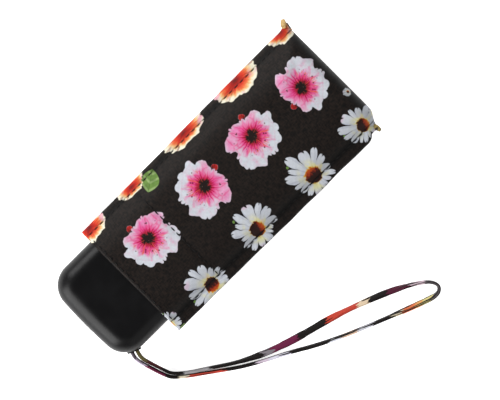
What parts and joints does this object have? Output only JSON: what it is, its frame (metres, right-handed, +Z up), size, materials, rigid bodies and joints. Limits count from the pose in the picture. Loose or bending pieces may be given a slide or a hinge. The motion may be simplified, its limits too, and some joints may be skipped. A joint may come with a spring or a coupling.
{
  "type": "folding umbrella",
  "caption": "Small flat folding umbrella stowed in a printed cloth sleeve, with a rounded handle, wrist strap and telescoping shaft",
  "frame": {"origin": "under the middle of the stowed umbrella without its wrist strap, on the surface it lies on", "axes": "+X along the shaft from the handle to the top, +Z up out of the flat face, +Y across"},
  "size_m": [0.153, 0.1308, 0.0272],
  "materials": {
    "handle_plastic": "soft-touch matte",
    "frame_plastic": "moulded, satin",
    "shaft_steel": "plated, satin",
    "rivet_steel": "plated",
    "rib_aluminium": "rolled",
    "rib_fibreglass": "pultruded black glass fibre",
    "canopy_cloth": "printed polyester, flowers on black",
    "sleeve_cloth": "printed polyester, flowers on black",
    "strap_cloth": "printed polyester tape"
  },
  "bodies": {
    "root": {"handle_shell": "handle_plastic", "handle_core": "handle_plastic", "shaft_rivet": "rivet_steel", "strap_anchor": "handle_plastic", "shaft_tube_5": "shaft_steel", "wrist_strap": "strap_cloth"},
    "section_4": {"shaft_tube_4": "shaft_steel"},
    "section_3": {"shaft_tube_3": "shaft_steel"},
    "section_2": {"shaft_tube_2": "shaft_steel"},
    "top": {"shaft_tube_1": "shaft_steel", "top_notch": "frame_plastic", "notch_rivets": "rivet_steel", "top_cap": "frame_plastic", "canopy": "canopy_cloth", "tie_strap": "canopy_cloth"},
    "runner": {"runner": "frame_plastic", "runner_rivets": "rivet_steel"},
    "catch": {"runner_catch": "rivet_steel"},
    "sleeve": {"sleeve": "sleeve_cloth"},
    "stretcher_upper_middle": {"stretcher_upper_middle": "rib_aluminium"},
    "inner_rib_upper_middle": {"inner_rib_upper_middle": "rib_aluminium"},
    "second_rib_upper_middle": {"second_rib_upper_middle": "rib_aluminium"},
    "third_rib_upper_middle": {"third_rib_upper_middle": "rib_aluminium"},
    "outer_rib_upper_middle": {"outer_rib_upper_middle": "rib_fibreglass", "rib_tip_upper_middle": "frame_plastic"},
    "stretcher_upper_left": {"stretcher_upper_left": "rib_aluminium"},
    "inner_rib_upper_left": {"inner_rib_upper_left": "rib_aluminium"},
    "second_rib_upper_left": {"second_rib_upper_left": "rib_aluminium"},
    "third_rib_upper_left": {"third_rib_upper_left": "rib_aluminium"},
    "outer_rib_upper_left": {"outer_rib_upper_left": "rib_fibreglass", "rib_tip_upper_left": "frame_plastic"},
    "stretcher_upper_right": {"stretcher_upper_right": "rib_aluminium"},
    "inner_rib_upper_right": {"inner_rib_upper_right": "rib_aluminium"},
    "second_rib_upper_right": {"second_rib_upper_right": "rib_aluminium"},
    "third_rib_upper_right": {"third_rib_upper_right": "rib_aluminium"},
    "outer_rib_upper_right": {"outer_rib_upper_right": "rib_fibreglass", "rib_tip_upper_right": "frame_plastic"},
    "stretcher_lower_middle": {"stretcher_lower_middle": "rib_aluminium"},
    "inner_rib_lower_middle": {"inner_rib_lower_middle": "rib_aluminium"},
    "second_rib_lower_middle": {"second_rib_lower_middle": "rib_aluminium"},
    "third_rib_lower_middle": {"third_rib_lower_middle": "rib_aluminium"},
    "outer_rib_lower_middle": {"outer_rib_lower_middle": "rib_fibreglass", "rib_tip_lower_middle": "frame_plastic"},
    "stretcher_lower_left": {"stretcher_lower_left": "rib_aluminium"},
    "inner_rib_lower_left": {"inner_rib_lower_left": "rib_aluminium"},
    "second_rib_lower_left": {"second_rib_lower_left": "rib_aluminium"},
    "third_rib_lower_left": {"third_rib_lower_left": "rib_aluminium"},
    "outer_rib_lower_left": {"outer_rib_lower_left": "rib_fibreglass", "rib_tip_lower_left": "frame_plastic"},
    "stretcher_lower_right": {"stretcher_lower_right": "rib_aluminium"},
    "inner_rib_lower_right": {"inner_rib_lower_right": "rib_aluminium"},
    "second_rib_lower_right": {"second_rib_lower_right": "rib_aluminium"},
    "third_rib_lower_right": {"third_rib_lower_right": "rib_aluminium"},
    "outer_rib_lower_right": {"outer_rib_lower_right": "rib_fibreglass", "rib_tip_lower_right": "frame_plastic"}
  },
  "joints": [
    {"name": "shaft_extend", "type": "slide", "parent": "root", "child": "section_4", "axis": [1, 0, 0], "range_m": [0, 0.09]},
    {"name": "section_3_slide", "type": "slide", "parent": "section_4", "child": "section_3", "axis": [1, 0, 0], "range_m": [0, 0.0902]},
    {"name": "section_2_slide", "type": "slide", "parent": "section_3", "child": "section_2", "axis": [1, 0, 0], "range_m": [0, 0.0902]},
    {"name": "top_slide", "type": "slide", "parent": "section_2", "child": "top", "axis": [1, 0, 0], "range_m": [0, 0.0902]},
    {"name": "runner_slide", "type": "slide", "parent": "top", "child": "runner", "axis": [1, 0, 0], "range_m": [0, 0.06679], "deforming": ["canopy", "tie_strap", "sleeve"]},
    {"name": "catch_press", "type": "slide", "parent": "top", "child": "catch", "axis": [0, -1, 0], "range_m": [0, 0.0009], "stiffness_N_per_m": 200, "deforming": ["runner_catch"]},
    {"name": "sleeve_slide", "type": "slide", "parent": "top", "child": "sleeve", "axis": [1, 0, 0], "range_m": [0, 0.13]},
    {"name": "stretcher_hinge_upper_middle", "type": "hinge", "parent": "runner", "child": "stretcher_upper_middle", "pos_m": [-0.0244, 0, 0.021], "axis": [0, 1, 0], "range_deg": [-69.32, 0]},
    {"name": "inner_rib_hinge_upper_middle", "type": "hinge", "parent": "top", "child": "inner_rib_upper_middle", "pos_m": [0.0671, 0, 0.021], "axis": [0, 1, 0], "range_deg": [0, 80.5]},
    {"name": "second_rib_hinge_upper_middle", "type": "hinge", "parent": "inner_rib_upper_middle", "child": "second_rib_upper_middle", "pos_m": [-0.0369, 0, 0.021], "axis": [0, 1, 0], "range_deg": [-190.5, 0]},
    {"name": "third_rib_hinge_upper_middle", "type": "hinge", "parent": "second_rib_upper_middle", "child": "third_rib_upper_middle", "pos_m": [0.0575, 0, 0.021], "axis": [0, 1, 0], "range_deg": [0, 170.5]},
    {"name": "outer_rib_hinge_upper_middle", "type": "hinge", "parent": "third_rib_upper_middle", "child": "outer_rib_upper_middle", "pos_m": [-0.0375, 0, 0.021], "axis": [0, 1, 0], "range_deg": [-190.5, 0]},
    {"name": "stretcher_hinge_upper_left", "type": "hinge", "parent": "runner", "child": "stretcher_upper_left", "pos_m": [-0.0244, 0.011, 0.0178], "axis": [0, 0.5, -0.866], "range_deg": [-69.32, 0]},
    {"name": "inner_rib_hinge_upper_left", "type": "hinge", "parent": "top", "child": "inner_rib_upper_left", "pos_m": [0.0671, 0.011, 0.0178], "axis": [0, 0.5, -0.866], "range_deg": [0, 80.5]},
    {"name": "second_rib_hinge_upper_left", "type": "hinge", "parent": "inner_rib_upper_left", "child": "second_rib_upper_left", "pos_m": [-0.0369, 0.011, 0.0178], "axis": [0, 0.5, -0.866], "range_deg": [-190.5, 0]},
    {"name": "third_rib_hinge_upper_left", "type": "hinge", "parent": "second_rib_upper_left", "child": "third_rib_upper_left", "pos_m": [0.0575, 0.011, 0.0178], "axis": [0, 0.5, -0.866], "range_deg": [0, 170.5]},
    {"name": "outer_rib_hinge_upper_left", "type": "hinge", "parent": "third_rib_upper_left", "child": "outer_rib_upper_left", "pos_m": [-0.0375, 0.011, 0.0178], "axis": [0, 0.5, -0.866], "range_deg": [-190.5, 0]},
    {"name": "stretcher_hinge_upper_right", "type": "hinge", "parent": "runner", "child": "stretcher_upper_right", "pos_m": [-0.0244, -0.011, 0.0178], "axis": [0, 0.5, 0.866], "range_deg": [-69.32, 0]},
    {"name": "inner_rib_hinge_upper_right", "type": "hinge", "parent": "top", "child": "inner_rib_upper_right", "pos_m": [0.0671, -0.011, 0.0178], "axis": [0, 0.5, 0.866], "range_deg": [0, 80.5]},
    {"name": "second_rib_hinge_upper_right", "type": "hinge", "parent": "inner_rib_upper_right", "child": "second_rib_upper_right", "pos_m": [-0.0369, -0.011, 0.0178], "axis": [0, 0.5, 0.866], "range_deg": [-190.5, 0]},
    {"name": "third_rib_hinge_upper_right", "type": "hinge", "parent": "second_rib_upper_right", "child": "third_rib_upper_right", "pos_m": [0.0575, -0.011, 0.0178], "axis": [0, 0.5, 0.866], "range_deg": [0, 170.5]},
    {"name": "outer_rib_hinge_upper_right", "type": "hinge", "parent": "third_rib_upper_right", "child": "outer_rib_upper_right", "pos_m": [-0.0375, -0.011, 0.0178], "axis": [0, 0.5, 0.866], "range_deg": [-190.5, 0]},
    {"name": "stretcher_hinge_lower_middle", "type": "hinge", "parent": "runner", "child": "stretcher_lower_middle", "pos_m": [-0.0244, 0, 0.0062], "axis": [0, -1, 0], "range_deg": [-69.32, 0]},
    {"name": "inner_rib_hinge_lower_middle", "type": "hinge", "parent": "top", "child": "inner_rib_lower_middle", "pos_m": [0.0671, 0, 0.0062], "axis": [0, -1, 0], "range_deg": [0, 80.5]},
    {"name": "second_rib_hinge_lower_middle", "type": "hinge", "parent": "inner_rib_lower_middle", "child": "second_rib_lower_middle", "pos_m": [-0.0369, 0, 0.0062], "axis": [0, -1, 0], "range_deg": [-190.5, 0]},
    {"name": "third_rib_hinge_lower_middle", "type": "hinge", "parent": "second_rib_lower_middle", "child": "third_rib_lower_middle", "pos_m": [0.0575, 0, 0.0062], "axis": [0, -1, 0], "range_deg": [0, 170.5]},
    {"name": "outer_rib_hinge_lower_middle", "type": "hinge", "parent": "third_rib_lower_middle", "child": "outer_rib_lower_middle", "pos_m": [-0.0375, 0, 0.0062], "axis": [0, -1, 0], "range_deg": [-190.5, 0]},
    {"name": "stretcher_hinge_lower_left", "type": "hinge", "parent": "runner", "child": "stretcher_lower_left", "pos_m": [-0.0244, 0.011, 0.0094], "axis": [0, -0.5, -0.866], "range_deg": [-69.32, 0]},
    {"name": "inner_rib_hinge_lower_left", "type": "hinge", "parent": "top", "child": "inner_rib_lower_left", "pos_m": [0.0671, 0.011, 0.0094], "axis": [0, -0.5, -0.866], "range_deg": [0, 80.5]},
    {"name": "second_rib_hinge_lower_left", "type": "hinge", "parent": "inner_rib_lower_left", "child": "second_rib_lower_left", "pos_m": [-0.0369, 0.011, 0.0094], "axis": [0, -0.5, -0.866], "range_deg": [-190.5, 0]},
    {"name": "third_rib_hinge_lower_left", "type": "hinge", "parent": "second_rib_lower_left", "child": "third_rib_lower_left", "pos_m": [0.0575, 0.011, 0.0094], "axis": [0, -0.5, -0.866], "range_deg": [0, 170.5]},
    {"name": "outer_rib_hinge_lower_left", "type": "hinge", "parent": "third_rib_lower_left", "child": "outer_rib_lower_left", "pos_m": [-0.0375, 0.011, 0.0094], "axis": [0, -0.5, -0.866], "range_deg": [-190.5, 0]},
    {"name": "stretcher_hinge_lower_right", "type": "hinge", "parent": "runner", "child": "stretcher_lower_right", "pos_m": [-0.0244, -0.011, 0.0094], "axis": [0, -0.5, 0.866], "range_deg": [-69.32, 0]},
    {"name": "inner_rib_hinge_lower_right", "type": "hinge", "parent": "top", "child": "inner_rib_lower_right", "pos_m": [0.0671, -0.011, 0.0094], "axis": [0, -0.5, 0.866], "range_deg": [0, 80.5]},
    {"name": "second_rib_hinge_lower_right", "type": "hinge", "parent": "inner_rib_lower_right", "child": "second_rib_lower_right", "pos_m": [-0.0369, -0.011, 0.0094], "axis": [0, -0.5, 0.866], "range_deg": [-190.5, 0]},
    {"name": "third_rib_hinge_lower_right", "type": "hinge", "parent": "second_rib_lower_right", "child": "third_rib_lower_right", "pos_m": [0.0575, -0.011, 0.0094], "axis": [0, -0.5, 0.866], "range_deg": [0, 170.5]},
    {"name": "outer_rib_hinge_lower_right", "type": "hinge", "parent": "third_rib_lower_right", "child": "outer_rib_lower_right", "pos_m": [-0.0375, -0.011, 0.0094], "axis": [0, -0.5, 0.866], "range_deg": [-190.5, 0]}
  ],
  "couplings": [
    {"joint": "section_3_slide", "follows": "shaft_extend", "ratio": 1},
    {"joint": "section_2_slide", "follows": "shaft_extend", "ratio": 1},
    {"joint": "top_slide", "follows": "shaft_extend", "ratio": 1},
    {"joint": "stretcher_hinge_upper_middle", "follows": "runner_slide", "rad_per_m": -17.983},
    {"joint": "inner_rib_hinge_upper_middle", "follows": "runner_slide", "rad_per_m": 20.906},
    {"joint": "second_rib_hinge_upper_middle", "follows": "runner_slide", "rad_per_m": -49.652},
    {"joint": "third_rib_hinge_upper_middle", "follows": "runner_slide", "rad_per_m": 44.425},
    {"joint": "outer_rib_hinge_upper_middle", "follows": "runner_slide", "rad_per_m": -49.652},
    {"joint": "stretcher_hinge_upper_left", "follows": "runner_slide", "rad_per_m": -17.983},
    {"joint": "inner_rib_hinge_upper_left", "follows": "runner_slide", "rad_per_m": 20.906},
    {"joint": "second_rib_hinge_upper_left", "follows": "runner_slide", "rad_per_m": -49.652},
    {"joint": "third_rib_hinge_upper_left", "follows": "runner_slide", "rad_per_m": 44.425},
    {"joint": "outer_rib_hinge_upper_left", "follows": "runner_slide", "rad_per_m": -49.652},
    {"joint": "stretcher_hinge_upper_right", "follows": "runner_slide", "rad_per_m": -17.983},
    {"joint": "inner_rib_hinge_upper_right", "follows": "runner_slide", "rad_per_m": 20.906},
    {"joint": "second_rib_hinge_upper_right", "follows": "runner_slide", "rad_per_m": -49.652},
    {"joint": "third_rib_hinge_upper_right", "follows": "runner_slide", "rad_per_m": 44.425},
    {"joint": "outer_rib_hinge_upper_right", "follows": "runner_slide", "rad_per_m": -49.652},
    {"joint": "stretcher_hinge_lower_middle", "follows": "runner_slide", "rad_per_m": -17.983},
    {"joint": "inner_rib_hinge_lower_middle", "follows": "runner_slide", "rad_per_m": 20.906},
    {"joint": "second_rib_hinge_lower_middle", "follows": "runner_slide", "rad_per_m": -49.652},
    {"joint": "third_rib_hinge_lower_middle", "follows": "runner_slide", "rad_per_m": 44.425},
    {"joint": "outer_rib_hinge_lower_middle", "follows": "runner_slide", "rad_per_m": -49.652},
    {"joint": "stretcher_hinge_lower_left", "follows": "runner_slide", "rad_per_m": -17.983},
    {"joint": "inner_rib_hinge_lower_left", "follows": "runner_slide", "rad_per_m": 20.906},
    {"joint": "second_rib_hinge_lower_left", "follows": "runner_slide", "rad_per_m": -49.652},
    {"joint": "third_rib_hinge_lower_left", "follows": "runner_slide", "rad_per_m": 44.425},
    {"joint": "outer_rib_hinge_lower_left", "follows": "runner_slide", "rad_per_m": -49.652},
    {"joint": "stretcher_hinge_lower_right", "follows": "runner_slide", "rad_per_m": -17.983},
    {"joint": "inner_rib_hinge_lower_right", "follows": "runner_slide", "rad_per_m": 20.906},
    {"joint": "second_rib_hinge_lower_right", "follows": "runner_slide", "rad_per_m": -49.652},
    {"joint": "third_rib_hinge_lower_right", "follows": "runner_slide", "rad_per_m": 44.425},
    {"joint": "outer_rib_hinge_lower_right", "follows": "runner_slide", "rad_per_m": -49.652}
  ]
}
